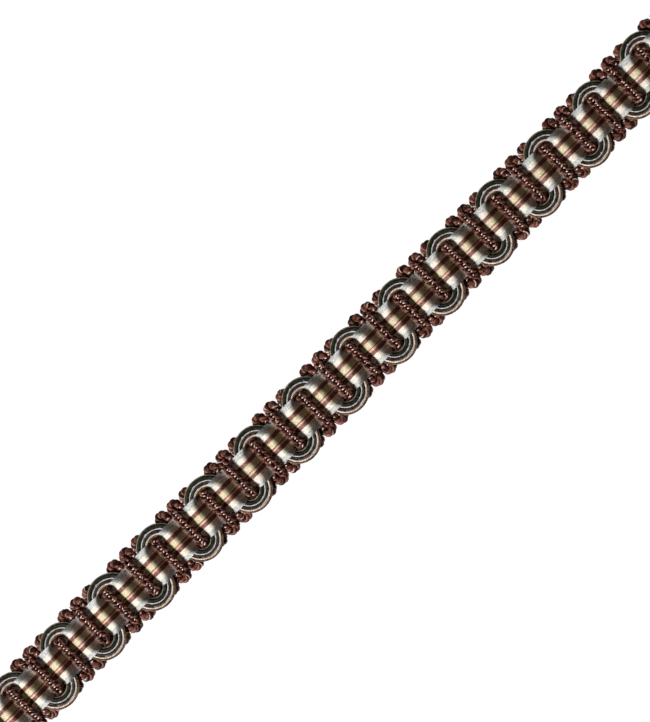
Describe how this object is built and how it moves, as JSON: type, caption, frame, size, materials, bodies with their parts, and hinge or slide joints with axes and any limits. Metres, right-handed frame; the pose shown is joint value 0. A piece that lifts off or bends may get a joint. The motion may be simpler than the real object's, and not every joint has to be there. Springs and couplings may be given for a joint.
{
  "type": "gimp braid trim",
  "caption": "Straight cut length of woven gimp braid with a striped satin face, crosswise ribs, scalloped cord edges and small picot loops. It lies flat on its back.",
  "frame": {"origin": "on the back, under the middle of the braid's outline", "axes": "+X along the braid, +Y across it towards its left edge, +Z out of its face"},
  "size_m": [0.2128, 0.0152, 0.0027],
  "materials": {
    "brown_yarn": "dark red-brown thick cotton yarn with fine copper strands",
    "satin_yarn": "glossy rayon in lengthwise stripes: silver grey, cream, red-brown, olive and copper",
    "green_cord": "dark green silk-wrapped cord",
    "grey_cord": "dark warm grey silk-wrapped cord, edged with fine white cords",
    "taupe_cord": "taupe silk-wrapped cord, edged with a fine cream cord"
  },
  "bodies": {
    "root": {"picot_weft": "brown_yarn", "scroll_cord_green": "green_cord", "scroll_cord_grey": "grey_cord", "scroll_cord_taupe": "taupe_cord", "satin_warp": "satin_yarn", "rib_01": "brown_yarn", "rib_02": "brown_yarn", "rib_03": "brown_yarn", "rib_04": "brown_yarn", "rib_05": "brown_yarn", "rib_06": "brown_yarn", "rib_07": "brown_yarn", "rib_08": "brown_yarn", "rib_09": "brown_yarn", "rib_10": "brown_yarn", "rib_11": "brown_yarn", "rib_12": "brown_yarn", "rib_13": "brown_yarn", "rib_14": "brown_yarn", "rib_15": "brown_yarn", "rib_16": "brown_yarn", "rib_17": "brown_yarn", "rib_18": "brown_yarn", "rib_19": "brown_yarn", "rib_20": "brown_yarn", "rib_21": "brown_yarn", "rib_22": "brown_yarn", "rib_23": "brown_yarn", "rib_24": "brown_yarn", "rib_25": "brown_yarn", "rib_26": "brown_yarn", "rib_27": "brown_yarn", "rib_28": "brown_yarn", "rib_29": "brown_yarn"}
  },
  "joints": []
}
